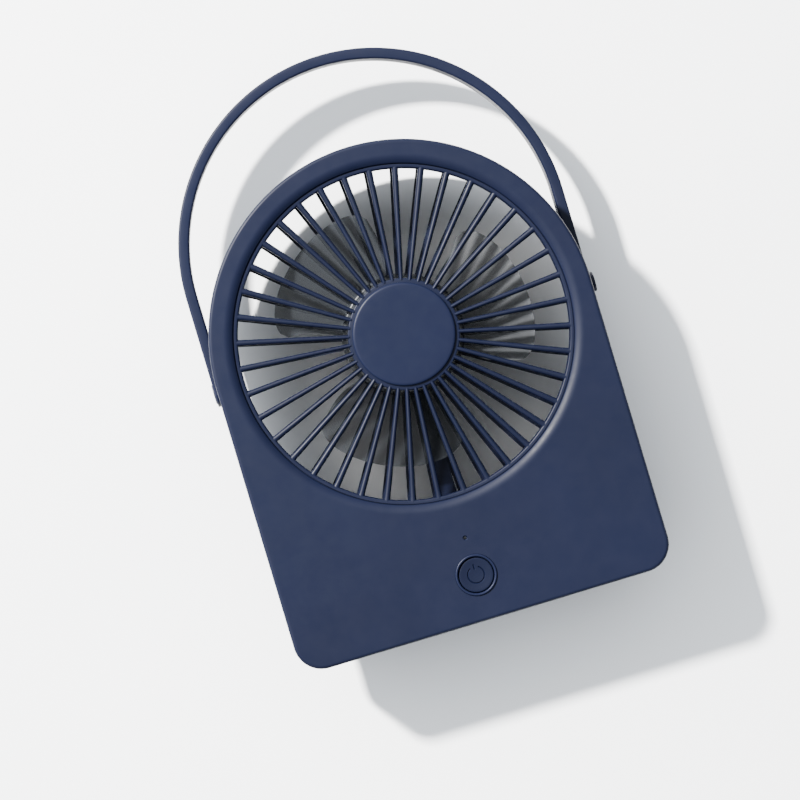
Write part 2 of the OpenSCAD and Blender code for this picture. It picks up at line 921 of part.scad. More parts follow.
front_shell();
rear_shell();
front_grille();
grille_cap();
rear_grille();
impeller();
rotor_cup();
magnet_ring();
motor_shaft();
shaft_clip();
motor_base();
motor_bearings();
stator_core();
stator_coils();
motor_board();
motor_screws();
motor_leads();
handle();
pivot_pins();
pivot_washers();
pivot_caps();
power_button();
button_bezel();
tact_switch();
switch_plunger();
light_pipe();
led();
control_board();
board_chips();
board_screws();
battery_cells();
battery_holder();
battery_contacts();
battery_leads();
usb_port();
usb_board();
case_screws();
screw_plugs();
base_pad();
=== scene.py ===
import json
import math

import bmesh
import bpy
from mathutils import Matrix, Vector


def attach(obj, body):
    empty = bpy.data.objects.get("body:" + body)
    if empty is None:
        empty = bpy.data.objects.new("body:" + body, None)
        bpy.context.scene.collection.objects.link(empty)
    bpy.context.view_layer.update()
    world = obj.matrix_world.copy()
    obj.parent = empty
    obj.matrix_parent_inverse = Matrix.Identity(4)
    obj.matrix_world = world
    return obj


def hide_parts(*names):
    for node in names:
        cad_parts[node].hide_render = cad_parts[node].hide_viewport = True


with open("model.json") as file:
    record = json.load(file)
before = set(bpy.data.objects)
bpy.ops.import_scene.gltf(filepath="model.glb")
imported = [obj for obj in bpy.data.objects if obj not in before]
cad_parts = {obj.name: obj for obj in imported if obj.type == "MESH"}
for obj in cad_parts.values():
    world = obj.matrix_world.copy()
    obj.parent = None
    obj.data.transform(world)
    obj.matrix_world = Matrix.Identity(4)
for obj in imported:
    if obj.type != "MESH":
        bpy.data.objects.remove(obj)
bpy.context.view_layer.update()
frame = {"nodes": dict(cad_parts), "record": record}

MM = 0.001

# The case, front to back
HUB_Z = 115.0
Y_FRONT = -19.0
Y_SPLIT = -1.0
Y_BACK = 19.0
FACE_INSIDE_Y = -16.4
BACK_INSIDE_Y = 16.6
TONGUE_END_Y = -4.0

# The case's outlines: half width, radius of the bottom corners, height of the bottom edge
CASE_Z = 0.6
FRONT_OUTLINE = (75.0, 11.0, CASE_Z)
REAR_OUTLINE = (71.5, 30.0, CASE_Z)
TONGUE_OUTLINE = (72.65, 8.8, 2.95)
REAR_INSIDE_OUTLINE = (69.3, 27.8, 5.0)
WALL = 2.2
LIP_OUT, LIP_RADIUS = 69.2, 5.6
DUCT_IN, DUCT_OUT = 69.2, 70.8

# Grilles
SPOKE_COUNT = 40
SPOKE_STEP = 360.0 / SPOKE_COUNT
FIRST_SPOKE = SPOKE_STEP / 2
SPOKE_ANGLES = [FIRST_SPOKE + SPOKE_STEP * k for k in range(SPOKE_COUNT)]
CROWN = 1.05

# Impeller
BLADE_COUNT = 3
BLADE_ROOT, BLADE_TIP = 23.2, 51.2
BLADE_THICKNESS = 1.1
FIRST_BLADE = 83

# Button, pilot light, pivots, charging socket, plugs and pad
BUTTON_Z = 18.6
LED_Z = 33.4
PIVOT_Y = 8.25
PIVOT_Z = 113.8
STRAP_IN, STRAP_OUT = 72.3, 76.7
CAP_PROUD = {1: 1.9, -1: 0.4}
SOCKET_X, SOCKET_Z = 48.0, 15.0
PLUG_ROWS = (15.0, 60.0)
PLUG_X = 61.5
PAD_SPAN = 29.0
GROOVE_STEP = 11.0

# Stage and light
KEY_TOWARDS = (-0.464, -0.686, 0.56)
WORLD_LOW, WORLD_HIGH = 0.25, 3.4
STAGE_Y = 32.0
STAGE_LOW, STAGE_HIGH = -1200.0, 1500.0
DIFFUSER_Y = 21.0
DIFFUSER_R = 68.0
DIFFUSER_TONE = 0.27

# Camera: how far it is from the face, how far it is moved to the left and down, its lens and roll
CAMERA_FORWARD = (0.0316, 0.9994, -0.0109)
CAMERA_AWAY = 1.2
CAMERA_LEFT = 0.0088
CAMERA_DOWN = 0.02375
CAMERA_LENS = 140.94
CAMERA_ROLL = 16.65


# ---------- materials ----------

def new_material(name):
    material = bpy.data.materials.new(name)
    material.use_nodes = True
    return material, material.node_tree, material.node_tree.nodes["Principled BSDF"]


def noise(tree, scale, detail=2.0, roughness=0.5, stretch=None):
    coords = tree.nodes.new("ShaderNodeTexCoord")
    source = coords.outputs["Object"]
    if stretch:
        mapping = tree.nodes.new("ShaderNodeMapping")
        mapping.inputs["Scale"].default_value = stretch
        tree.links.new(source, mapping.inputs["Vector"])
        source = mapping.outputs["Vector"]
    texture = tree.nodes.new("ShaderNodeTexNoise")
    texture.inputs["Scale"].default_value = scale
    texture.inputs["Detail"].default_value = detail
    texture.inputs["Roughness"].default_value = roughness
    tree.links.new(source, texture.inputs["Vector"])
    return texture.outputs["Fac"]


def spread(tree, value, low, high, floor=0.3, ceiling=0.7):
    """value, which is near floor to ceiling, spread over low to high."""
    node = tree.nodes.new("ShaderNodeMapRange")
    node.inputs["From Min"].default_value = floor
    node.inputs["From Max"].default_value = ceiling
    node.inputs["To Min"].default_value = low
    node.inputs["To Max"].default_value = high
    tree.links.new(value, node.inputs["Value"])
    return node.outputs["Result"]


def mix_colours(tree, factor, first, second):
    node = tree.nodes.new("ShaderNodeMix")
    node.data_type = "RGBA"
    tree.links.new(factor, node.inputs["Factor"])
    for socket, colour in ((node.inputs["A"], first), (node.inputs["B"], second)):
        if isinstance(colour, (tuple, list)):
            socket.default_value = (*colour, 1.0)
        else:
            tree.links.new(colour, socket)
    return node.outputs["Result"]


def shade(colour, factor):
    return tuple(min(1.0, c * factor) for c in colour)


def surface(name, colour, rough, metallic=0.0, grain=2600.0, bump=0.12, wear=0.25, drift=0.07,
            stretch=None, specular=0.5, alpha=1.0):
    """A moulded or machined surface: fine grain, slow colour drift, uneven gloss, and edges rubbed
    lighter where there is wear."""
    material, tree, shader = new_material(name)
    slow = spread(tree, noise(tree, 22.0, 3.0), 0.0, 1.0)
    body = mix_colours(tree, slow, shade(colour, 1 - drift), shade(colour, 1 + drift))
    if wear:
        geometry = tree.nodes.new("ShaderNodeNewGeometry")
        edges = spread(tree, geometry.outputs["Pointiness"], 0.0, wear, 0.505, 0.56)
        body = mix_colours(tree, edges, body, shade(colour, 1.9))
    tree.links.new(body, shader.inputs["Base Color"])
    gloss = noise(tree, grain / 14, 3.0, 0.6, stretch)
    tree.links.new(spread(tree, gloss, rough * 0.88, min(1.0, rough * 1.12)), shader.inputs["Roughness"])
    shader.inputs["Metallic"].default_value = metallic
    shader.inputs["Specular IOR Level"].default_value = specular
    shader.inputs["Alpha"].default_value = alpha
    relief = tree.nodes.new("ShaderNodeBump")
    relief.inputs["Strength"].default_value = bump
    relief.inputs["Distance"].default_value = 0.00012
    tree.links.new(noise(tree, grain, 4.0, 0.6, stretch), relief.inputs["Height"])
    tree.links.new(relief.outputs["Normal"], shader.inputs["Normal"])
    return material


NAVY = (0.0028, 0.0041, 0.0127)
SHEEN = 0.1
MATERIALS = {
    "case_plastic": surface("case_plastic", NAVY, 0.46, wear=0.0, specular=SHEEN),
    "trim_plastic": surface("trim_plastic", shade(NAVY, 1.1), 0.4, grain=3200.0, specular=SHEEN),
    "grille_plastic": surface("grille_plastic", shade(NAVY, 0.8), 0.42, grain=3000.0, specular=SHEEN),
    "handle_plastic": surface("handle_plastic", NAVY, 0.44, specular=SHEEN),
    "button_plastic": surface("button_plastic", shade(NAVY, 0.85), 0.36, grain=3600.0, specular=SHEEN),
    "smoky_plastic": surface("smoky_plastic", (0.016, 0.018, 0.021), 0.35, bump=0.03, wear=0.5,
                             specular=0.25, alpha=0.5),
    # Smoky clear plastic for the light pipe. Its near-black tone is painted shade: it stands in for the shade
    # inside the recessed pinhole.
    "clear_plastic": surface("clear_plastic", (0.03, 0.032, 0.04), 0.2, bump=0.03, wear=0.2,
                             specular=0.3, alpha=0.8),
    "bright_steel": surface("bright_steel", (0.56, 0.57, 0.58), 0.28, 1.0, 1800.0, 0.1, 0.3, 0.05,
                            (1, 14, 1)),
    "lamination_steel": surface("lamination_steel", (0.3, 0.31, 0.33), 0.42, 0.9, 1400.0, 0.5, 0.3, 0.1,
                                (1, 30, 1)),
    "magnet": surface("magnet", (0.05, 0.05, 0.055), 0.55, 0.6, 2200.0, 0.2),
    "bearing_bronze": surface("bearing_bronze", (0.5, 0.3, 0.12), 0.4, 1.0, 2600.0, 0.3),
    "copper": surface("copper", (0.62, 0.23, 0.09), 0.3, 1.0, 2400.0, 0.6, 0.3, 0.1, (1, 20, 1)),
    "circuit_board": surface("circuit_board", (0.012, 0.075, 0.03), 0.35, 0.0, 1500.0, 0.25, 0.4, 0.15),
    "chip_black": surface("chip_black", (0.012, 0.012, 0.013), 0.5, grain=4000.0),
    "lead_black": surface("lead_black", (0.012, 0.012, 0.013), 0.5, grain=2000.0),
    "lead_red": surface("lead_red", (0.3, 0.015, 0.012), 0.5, grain=2000.0),
    "pad_rubber": surface("pad_rubber", (0.011, 0.012, 0.015), 0.85, grain=1500.0, bump=0.5),
    "cell_wrap": surface("cell_wrap", (0.03, 0.12, 0.3), 0.3, grain=900.0, bump=0.1),
    "holder_plastic": surface("holder_plastic", (0.02, 0.02, 0.022), 0.5),
    "nickel": surface("nickel", (0.6, 0.57, 0.5), 0.25, 1.0, 1600.0, 0.15, 0.3, 0.06, (12, 1, 1)),
    "led_white": surface("led_white", (0.75, 0.75, 0.7), 0.3, bump=0.05),
}
for part in frame["record"]["subparts"]:
    mesh = frame["nodes"][part["node"]].data
    mesh.materials.clear()
    mesh.materials.append(MATERIALS[part["material_slot"]])


# ---------- mesh helpers ----------

def add_piece(name, mesh, body, node, slot_name, sharp=34.0):
    """Makes a mesh a visual piece that stands for a CAD node and rides on its body."""
    mesh.shade_smooth()
    mesh.set_sharp_from_angle(angle=math.radians(sharp))
    mesh.materials.clear()
    mesh.materials.append(MATERIALS[slot_name])
    piece = bpy.data.objects.new(name, mesh)
    bpy.context.scene.collection.objects.link(piece)
    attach(piece, body)
    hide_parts(node)


def mesh_from(name, points, faces):
    mesh = bpy.data.meshes.new(name)
    mesh.from_pydata([(x * MM, y * MM, z * MM) for x, y, z in points], [], faces)
    work = bmesh.new()
    work.from_mesh(mesh)
    bmesh.ops.remove_doubles(work, verts=work.verts, dist=1e-7)
    bmesh.ops.recalc_face_normals(work, faces=work.faces)
    work.to_mesh(mesh)
    work.free()
    return mesh


def skin(rows, loop_rows=True):
    """Points and faces of a surface through closed rows of points. A row of one point closes an end.
    With loop_rows the last row joins the first."""
    points, faces, starts = [], [], []
    for row in rows:
        starts.append(len(points))
        points.extend(row)
    count = max(len(row) for row in rows)
    pairs = [(k, k + 1) for k in range(len(rows) - 1)]
    if loop_rows:
        pairs.append((len(rows) - 1, 0))
    for a, b in pairs:
        for k in range(count):
            m = (k + 1) % count
            one, two = len(rows[a]) == 1, len(rows[b]) == 1
            if one and two:
                continue
            corners = [starts[a] + (0 if one else k), starts[a] + (0 if one else m),
                       starts[b] + (0 if two else m), starts[b] + (0 if two else k)]
            faces.append(list(dict.fromkeys(corners)))
    return points, faces


def capped(rows):
    """A surface through rows of points, with a flat face on its first and its last row."""
    points, faces = skin(rows, loop_rows=False)
    n, last = len(rows[0]), (len(rows) - 1) * len(rows[0])
    faces += [list(range(n)), list(range(last, last + n))]
    return points, faces


def joined(shapes):
    """Several shapes as one list of points and one of faces."""
    points, faces = [], []
    for shape_points, shape_faces in shapes:
        start = len(points)
        points.extend(shape_points)
        faces.extend([[start + k for k in face] for face in shape_faces])
    return points, faces


def ring(r, y, x=0.0, z=HUB_Z, count=144):
    """Points round an axis along Y through (x, z). A radius of 0 gives a single point."""
    if r == 0:
        return [(x, y, z)]
    turns = [2 * math.pi * k / count for k in range(count)]
    return [(x + r * math.sin(t), y, z + r * math.cos(t)) for t in turns]


def lathe(profile, x=0.0, z=HUB_Z, count=144, closed=True):
    """A shape turned about an axis along Y through (x, z), from points (radius, y)."""
    return skin([ring(r, y, x, z, count) for r, y in profile], loop_rows=closed)


def stadium_row(half_span, r, z, count=24):
    """Points of an outline with round ends, lying along X at a height z."""
    row = []
    for side, start in ((1, -90), (-1, 90)):
        for k in range(count + 1):
            t = math.radians(start + 180 * k / count)
            row.append((side * half_span + r * math.cos(t), r * math.sin(t), z))
    return row


def stadium(half_span, r, z_low, z_high, count=24):
    """An upright prism with round ends, lying along X."""
    return capped([stadium_row(half_span, r, z, count) for z in (z_low, z_high)])


def cut(mesh, cutters):
    """The mesh with each cutter, given as points and faces, taken away."""
    body = bpy.data.objects.new("cut_body", mesh)
    bpy.context.scene.collection.objects.link(body)
    spare = [body]
    for k, shape in enumerate(cutters):
        tool = bpy.data.objects.new(f"cutter_{k}", mesh_from(f"cutter_{k}", *shape))
        bpy.context.scene.collection.objects.link(tool)
        spare.append(tool)
        modifier = body.modifiers.new(f"cut_{k}", "BOOLEAN")
        modifier.operation = "DIFFERENCE"
        modifier.solver = "EXACT"
        modifier.object = tool
    bpy.context.view_layer.update()
    result = bpy.data.meshes.new_from_object(body.evaluated_get(bpy.context.evaluated_depsgraph_get()))
    result.name = mesh.name + "_cut"
    for o in spare:
        bpy.data.objects.remove(o)
    return result


# ---------- the arch-topped case ----------

def case_angles():
    """Angles clockwise from up, closer together round the two bottom corners."""
    half = []
    spans = ((0, 138, 2.0), (138, 144, 0.5), (144, 151, 0.25), (151, 162, 0.5), (162, 180, 2.0))
    for start, end, step in spans:
        half += [start + step * k for k in range(round((end - start) / step))]
    half.append(180.0)
    return half + [360.0 - a for a in reversed(half[1:-1])]


ANGLES = [math.radians(a) for a in case_angles()]


def outline_radius(w, corner, z0, angle):
    """Distance from the fan's axis to an arch-topped outline w wide each side, standing on z0."""
    s, c = abs(math.sin(angle)), math.cos(angle)
    if c >= 0:
        return w
    height = HUB_Z - z0
    side = w / s if s > 1e-9 else 1e9
    if -c * side <= height - corner:
        return side
    bottom = height / -c
    if s * bottom <= w - corner:
        return bottom
    cx, cz = w - corner, corner - height
    along = s * cx + c * cz
    return along + math.sqrt(max(0.0, along * along - cx * cx - cz * cz + corner * corner))


def polar_row(radii, y):
    """A row round the fan's axis with its own radius at each of ANGLES."""
    return [(r * math.sin(a), y, HUB_Z + r * math.cos(a)) for r, a in zip(radii, ANGLES)]


def outline_radii(w, corner, z0, inset=0.0):
    return [outline_radius(w - inset, max(corner - inset, 0.2), z0 + inset, a) for a in ANGLES]


def circle_row(r, y):
    return polar_row([r] * len(ANGLES), y)


def flat_rows(outline, inset, r, y):
    """Rows across a flat face, from an inset outline in to a circle of radius r."""
    outer = outline_radii(*outline, inset)
    return [polar_row([a + (r - a) * share for a in outer], y) for share in (0.3, 0.65, 1.0)]


def rounded_rows(outline, radius, y, side_dir):
    """Rows round the edge between an outline's side and its face at y. The side runs from the face
    towards +Y where side_dir is 1, and towards -Y where it is -1."""
    rows = []
    for k in range(9):
        t = math.radians(90 * k / 8)
        rows.append(polar_row(outline_radii(*outline, radius * (1 - math.cos(t))),
                              y + side_dir * (radius * (1 - math.sin(t)))))
    return rows


def lip_y(r):
    """Front of the smooth, rolled lip that runs from the face into the grille's rim."""
    share = min(1.0, max(0.0, LIP_OUT - r) / LIP_RADIUS)
    return Y_FRONT + LIP_RADIUS * (1 - math.sqrt(1 - share * share))


def front_shell():
    def edge(inset, y):
        return polar_row(outline_radii(*FRONT_OUTLINE, inset), y)

    rows = [edge(WALL, FACE_INSIDE_Y), edge(WALL, -1.3), edge(1.9, Y_SPLIT), edge(0.4, Y_SPLIT)]
    rows += [edge(0.12, -1.1), edge(0.0, -1.4), edge(0.0, -2.0), edge(0.0, -17.0)]
    rows += rounded_rows(FRONT_OUTLINE, 1.3, Y_FRONT, 1)
    rows.append(edge(1.75, Y_FRONT))
    rows += flat_rows(FRONT_OUTLINE, 1.75, 71.0, Y_FRONT)
    lip = [(70.3, Y_FRONT)]
    lip += [(r, lip_y(r)) for r in (69.6, 69.2, 68.8, 68.4, 68.0, 67.6, 67.2, 66.8, 66.4, 66.0, 65.75)]
    lip += [(65.6, -17.55), (65.52, -17.3), (65.5, FACE_INSIDE_Y)]
    skirt = [(67.3, FACE_INSIDE_Y), (67.3, -4.2), (68.9, -4.2), (68.9, FACE_INSIDE_Y)]
    rows += [circle_row(r, y) for r, y in lip + skirt]
    mesh = mesh_from("front_shell_visual", *skin(rows))
    well = lathe([(0, -21), (8.15, -21), (8.15, -15), (0, -15)], 0, BUTTON_Z, 96, False)
    pinhole_profile = [(0, -21), (1.1, -21), (1.1, -19.1), (0.62, -18.65), (0.62, -15), (0, -15)]
    pinhole = lathe(pinhole_profile, 0, LED_Z, 32, False)
    pad = stadium(PAD_SPAN, 12.0, -1.0, 1.6)
    add_piece("front_shell_v", cut(mesh, [well, pinhole, pad]), "case", "front_shell", "case_plastic")


def rear_shell():
    def edge(inset, y):
        return polar_row(outline_radii(*REAR_OUTLINE, inset), y)

    tongue = outline_radii(*TONGUE_OUTLINE)
    inside = [max(r, DUCT_OUT + 0.05) for r in outline_radii(*REAR_INSIDE_OUTLINE)]
    rows = [polar_row(tongue, TONGUE_END_Y), polar_row(tongue, -1.05)]
    rows += [edge(0.0, Y_SPLIT), edge(0.0, -0.6), edge(0.0, 17.0)]
    rows += rounded_rows(REAR_OUTLINE, 1.5, Y_BACK, -1)
    rows.append(edge(1.9, Y_BACK))
    rows += flat_rows(REAR_OUTLINE, 1.9, 69.4, Y_BACK)
    opening = [(69.1, 18.97), (68.85, 18.88), (68.65, 18.7), (68.5, 18.45), (68.42, 18.15), (68.4, 17.8),
               (68.4, BACK_INSIDE_Y)]
    duct = [(DUCT_IN, BACK_INSIDE_Y), (DUCT_IN, TONGUE_END_Y), (DUCT_OUT, TONGUE_END_Y),
            (DUCT_OUT, BACK_INSIDE_Y)]
    rows += [circle_row(r, y) for r, y in opening + duct]
    rows += [polar_row(inside, BACK_INSIDE_Y), polar_row(inside, TONGUE_END_Y)]
    mesh = mesh_from("rear_shell_visual", *skin(rows))
    plug_hole = [(0, 15.5), (2.8, 15.5), (2.8, 18.8), (3.1, 19.1), (3.1, 21), (0, 21)]
    cutters = [lathe(plug_hole, side * PLUG_X, z, 48, False) for side in (-1, 1) for z in PLUG_ROWS]
    cutters.append(slot_prism(SOCKET_X, SOCKET_Z, 2.85, 1.9, 15.5, 21.0))
    cutters.append(stadium(PAD_SPAN, 12.0, -1.0, 1.6))
    add_piece("rear_shell_v", cut(mesh, cutters), "case", "rear_shell", "case_plastic")


def slot_prism(x, z, half_span, r, y0, y1, count=16):
    """A prism along Y with round ends, for the charging socket's slot."""
    points, faces = stadium(half_span, r, y0, y1, count)
    return [(x + along, y, z + across) for along, across, y in points], faces


# ---------- grilles ----------

def bar_rows(stations, front, back):
    """Rows across a bar with a crowned front that runs out along Z, from stations (radius, width)."""
    crown = [math.radians(15 * k) for k in range(7)]
    rows = []
    for r, w in stations:
        h = w / 2
        side = [(h, back)] + [(h * math.cos(t), front + CROWN * (1 - math.sin(t))) for t in crown[:-1]]
        side.append((h * 0.02, front))
        rows.append([(x, y, r) for x, y in side] + [(-x, y, r) for x, y in reversed(side)])
    return rows


def spokes(stations, front, back, angles):
    """A bar for each angle, turned about the fan's axis."""
    points, faces = capped(bar_rows(stations, front, back))
    shapes = []
    for angle in angles:
        t = math.radians(angle)
        turned = [(x * math.cos(t) + z * math.sin(t), y, HUB_Z - x * math.sin(t) + z * math.cos(t))
                  for x, y, z in points]
        shapes.append((turned, faces))
    return shapes


def facing_back(shapes):
    """Shapes made to face the front, turned half round to face the back."""
    return [([(-x, -y, z) for x, y, z in points], faces) for points, faces in shapes]


def front_grille():
    rim = [(63.8, -16.9), (63.84, -17.15), (63.95, -17.37), (64.15, -17.52), (64.4, -17.6), (65.3, -17.6),
           (65.3, FACE_INSIDE_Y), (67.1, FACE_INSIDE_Y), (67.1, -14.8), (65.3, -14.8), (65.3, -13.4),
           (65.1, -13.2), (64.0, -13.2), (63.8, -13.4)]
    dish = [(0, -14.8), (17.7, -14.8), (17.7, -17.3), (21.1, -17.3), (21.4, -17.22), (21.55, -17.05),
            (21.6, -16.8), (21.6, -13.6), (21.4, -13.4), (0, -13.4)]
    stations = [(20.9, 1.6), (22.5, 1.62), (43.0, 2.0), (62.5, 2.38), (63.6, 2.5), (64.6, 3.0)]
    shapes = [lathe(rim, count=240), lathe(dish, closed=False)]
    shapes += spokes(stations, -17.6, -14.6, SPOKE_ANGLES)
    mesh = mesh_from("front_grille_visual", *joined(shapes))
    add_piece("front_grille_v", mesh, "case", "front_grille", "grille_plastic")


def grille_cap():
    profile = [(0, -18.5), (6, -18.5), (12, -18.48), (16, -18.45), (18.6, -18.42)]
    profile += [(19.1, -18.38), (19.45, -18.27), (19.7, -18.1), (19.85, -17.88), (19.9, -17.6), (19.9, -17.3)]
    profile += [(17.5, -17.3), (17.5, -14.9), (16.0, -14.9), (16.0, -17.3), (0, -17.3)]
    mesh = mesh_from("grille_cap_visual", *lathe(profile, count=192, closed=False))
    add_piece("grille_cap_v", mesh, "case", "grille_cap", "trim_plastic")


def rear_grille():
    rim = [(66.9, 14.8), (69.05, 14.8), (69.05, BACK_INSIDE_Y), (68.2, BACK_INSIDE_Y), (68.2, 18.3),
           (68.05, 18.5), (67.8, 18.6), (67.3, 18.6), (67.05, 18.5), (66.9, 18.25)]
    motor_seat = [(0, 12.8), (21.0, 12.8), (21.4, 13.2), (21.4, 18.1), (21.2, 18.45), (20.8, 18.65),
                  (20.2, 18.7), (0, 18.7)]
    stations = [(20.8, 2.0), (44.0, 2.0), (67.5, 2.0)]
    lead_rib = [(19.9, 6.6), (67.3, 6.6)]
    shapes = [lathe(rim, count=240), lathe(motor_seat, closed=False)]
    shapes += facing_back(spokes(stations, -18.4, -15.4, SPOKE_ANGLES))
    shapes += facing_back(spokes(lead_rib, -18.5, -13.0, [180.0]))
    mesh = mesh_from("rear_grille_visual", *joined(shapes))
    add_piece("rear_grille_v", mesh, "case", "rear_grille", "grille_plastic")


# ---------- impeller ----------

def blade(centre):
    """A petal with a curved, pitched face about the angle centre. It thins towards its edges."""
    across, out = 44, 22
    half_arc, pitch = math.radians(37.5), math.tan(math.radians(15.5))
    rows = []
    for i in range(out + 1):
        v = i / out
        front, back = [], []
        for k in range(across + 1):
            u = 2.0 * k / across - 1.0
            lead = abs(u) ** (7.0 if u > 0 else 5.0)
            tip = BLADE_TIP - (9.5 if u > 0 else 7.0) * (1 - math.sqrt(max(0.0, 1 - lead)))
            r = BLADE_ROOT + (tip - BLADE_ROOT) * v
            a = centre + u * half_arc + math.radians(2.5) * math.sin(math.pi * v)
            y = -1.5 - r * math.sin(u * half_arc) * pitch - 1.6 * (1 - u * u) * (0.3 + 0.7 * v)
            thin = BLADE_THICKNESS / 2 * (1 - 0.55 * max(abs(u) ** 8, v ** 8))
            x, z = r * math.sin(a), r * math.cos(a) + HUB_Z
            front.append((x, y - thin, z))
            back.append((x, y + thin, z))
        rows.append(front + back[::-1])
    points, faces = skin(rows, loop_rows=False)
    n, last = len(rows[0]), (len(rows) - 1) * len(rows[0])
    for start in (0, last):
        for k in range(n // 2 - 1):
            faces.append([start + k, start + k + 1, start + n - 2 - k, start + n - 1 - k])
    return points, faces


def impeller():
    cup = [(3.6, -12.4), (22.4, -12.4), (23.0, -12.25), (23.4, -11.9), (23.6, -11.3), (23.6, 5.3),
           (23.3, 5.6), (22.4, 5.6), (22.15, 5.3), (22.15, -10.8), (3.6, -10.8)]
    boss = [(1.5, -12.0), (3.7, -12.0), (3.7, -10.8), (1.5, -10.8)]
    shapes = [lathe(cup), lathe(boss, count=48)]
    turn = 360 // BLADE_COUNT
    shapes += [blade(math.radians(FIRST_BLADE + turn * k)) for k in range(BLADE_COUNT)]
    mesh = mesh_from("impeller_visual", *joined(shapes))
    add_piece("impeller_v", mesh, "impeller", "impeller", "smoky_plastic", 50.0)


# ---------- handle ----------

def rounded_section(x, z, nx, nz, half_thick, half_depth):
    """A row round the strap at (x, z): a rounded rectangle, thick along (nx, nz) and deep along Y."""
    r = min(0.85, half_depth * 0.6)
    row = []
    for sx, sy, start in ((1, 1, 0), (-1, 1, 90), (-1, -1, 180), (1, -1, 270)):
        for k in range(6):
            t = math.radians(start + 90 * k / 5)
            across = sx * (half_thick - r) + r * math.cos(t)
            along = sy * (half_depth - r) + r * math.sin(t)
            row.append((x + nx * across, PIVOT_Y + along, z + nz * across))
    return row


def handle():
    """A strap with two straight arms, round below their pivots, joined by half a circle."""
    arm, half_depth, arc_steps = 38.4, 5.25, 96
    middle, half_thick = (STRAP_OUT + STRAP_IN) / 2, (STRAP_OUT - STRAP_IN) / 2
    side = []
    for k in range(13):
        t = math.radians(88.0 - 88.0 * k / 12)
        side.append((-half_depth * math.sin(t), half_depth * math.cos(t)))
    side += [(arm * k / 6, half_depth) for k in range(1, 7)]
    rows = [rounded_section(-middle, PIVOT_Z + h, -1.0, 0.0, half_thick, depth) for h, depth in side]
    for k in range(1, arc_steps):
        t = math.pi * k / arc_steps
        rows.append(rounded_section(-middle * math.cos(t), PIVOT_Z + arm + middle * math.sin(t),
                                    -math.cos(t), math.sin(t), half_thick, half_depth))
    rows += [rounded_section(middle, PIVOT_Z + h, 1.0, 0.0, half_thick, depth) for h, depth in reversed(side)]
    mesh = mesh_from("handle_visual", *capped(rows))
    add_piece("handle_v", mesh, "handle", "handle", "handle_plastic")


def pivot_caps():
    """A cap on each arm's outside, with a soft edge and a neck that goes into the strap."""
    cap_r, neck_r, neck_end = 3.9, 3.35, -0.9
    shapes = []
    for side, proud in CAP_PROUD.items():
        soft = min(proud, 0.45)
        profile = [(0, proud)]
        for k in range(7):
            t = math.radians(15 * k)
            profile.append((cap_r - soft * (1 - math.sin(t)), proud - soft * (1 - math.cos(t))))
        profile += [(cap_r, 0.0), (neck_r, 0.0), (neck_r, neck_end), (0, neck_end)]
        points, faces = lathe(profile, 0, 0, 64, False)
        shapes.append(([(side * (STRAP_OUT + y), PIVOT_Y + x, PIVOT_Z + z) for x, y, z in points], faces))
    mesh = mesh_from("pivot_caps_visual", *joined(shapes))
    add_piece("pivot_caps_v", mesh, "handle", "pivot_caps", "trim_plastic")


# ---------- button, plugs and pad ----------

def mark_depth(r, angle):
    """How far the plain power mark is pressed into the button at a polar point: a broken ring and a bar."""
    ring_r, half_line, half_break, bar_low, bar_high, deepest = 3.2, 0.34, 28, 2.1, 4.1, 0.36
    off = abs((angle + math.pi) % (2 * math.pi) - math.pi)
    x, z = r * math.sin(angle), r * math.cos(angle)
    across = 1.0
    if off > math.radians(half_break):
        across = abs(r - ring_r) / half_line
    if bar_low < z < bar_high:
        across = min(across, abs(x) / half_line)
    return deepest * (0.5 + 0.5 * math.cos(math.pi * min(1.0, across)))


def power_button():
    """A button with a dished face and a rounded edge. The mark needs its close rows and points."""
    count = 240
    rows = [ring(0, -18.55, z=BUTTON_Z)]
    edge_y = {6.2: -18.79, 6.45: -18.78, 6.6: -18.7, 6.7: -18.56, 6.75: -18.35}
    for r in [0.1 * k for k in range(1, 43)] + [4.6, 5.2, 5.8, *edge_y]:
        dish_y = -18.8 + 0.25 * (1 - min(1.0, r / 6.0) ** 2)
        row = []
        for k in range(count):
            a = 2 * math.pi * k / count
            y = edge_y.get(r, dish_y) + mark_depth(r, a)
            row.append((r * math.sin(a), y, BUTTON_Z + r * math.cos(a)))
        rows.append(row)
    stem = ((6.75, -16.4), (6.6, -16.2), (4.75, -16.2), (4.75, -15.4), (1.5, -15.4), (1.5, -14.4), (0, -14.4))
    rows += [ring(r, y, z=BUTTON_Z, count=count) for r, y in stem]
    mesh = mesh_from("power_button_visual", *skin(rows, loop_rows=False))
    add_piece("power_button_v", mesh, "button", "power_button", "button_plastic", 40.0)


def button_bezel():
    profile = [(7.0, -18.8), (7.04, -19.25), (7.16, -19.46), (7.34, -19.57), (7.55, -19.6), (7.76, -19.57),
               (7.94, -19.46), (8.06, -19.25), (8.1, -18.9), (8.1, FACE_INSIDE_Y), (9.3, FACE_INSIDE_Y),
               (9.3, -15.4), (7.0, -15.4)]
    mesh = mesh_from("button_bezel_visual", *lathe(profile, 0, BUTTON_Z, 128))
    add_piece("button_bezel_v", mesh, "case", "button_bezel", "trim_plastic")


def screw_plugs():
    profile = [(0, 16.5), (2.75, 16.5), (2.75, 18.5), (2.65, 18.7), (2.4, 18.78), (0, 18.8)]
    shapes = [lathe(profile, side * PLUG_X, z, 48, False) for side in (-1, 1) for z in PLUG_ROWS]
    mesh = mesh_from("screw_plugs_visual", *joined(shapes))
    add_piece("screw_plugs_v", mesh, "case", "screw_plugs", "trim_plastic")


def groove(x):
    """A shallow round-ended groove across the pad."""
    points, faces = stadium(7.5, 0.5, -1.0, 0.3, 8)
    return [(x + py, px, pz) for px, py, pz in points], faces


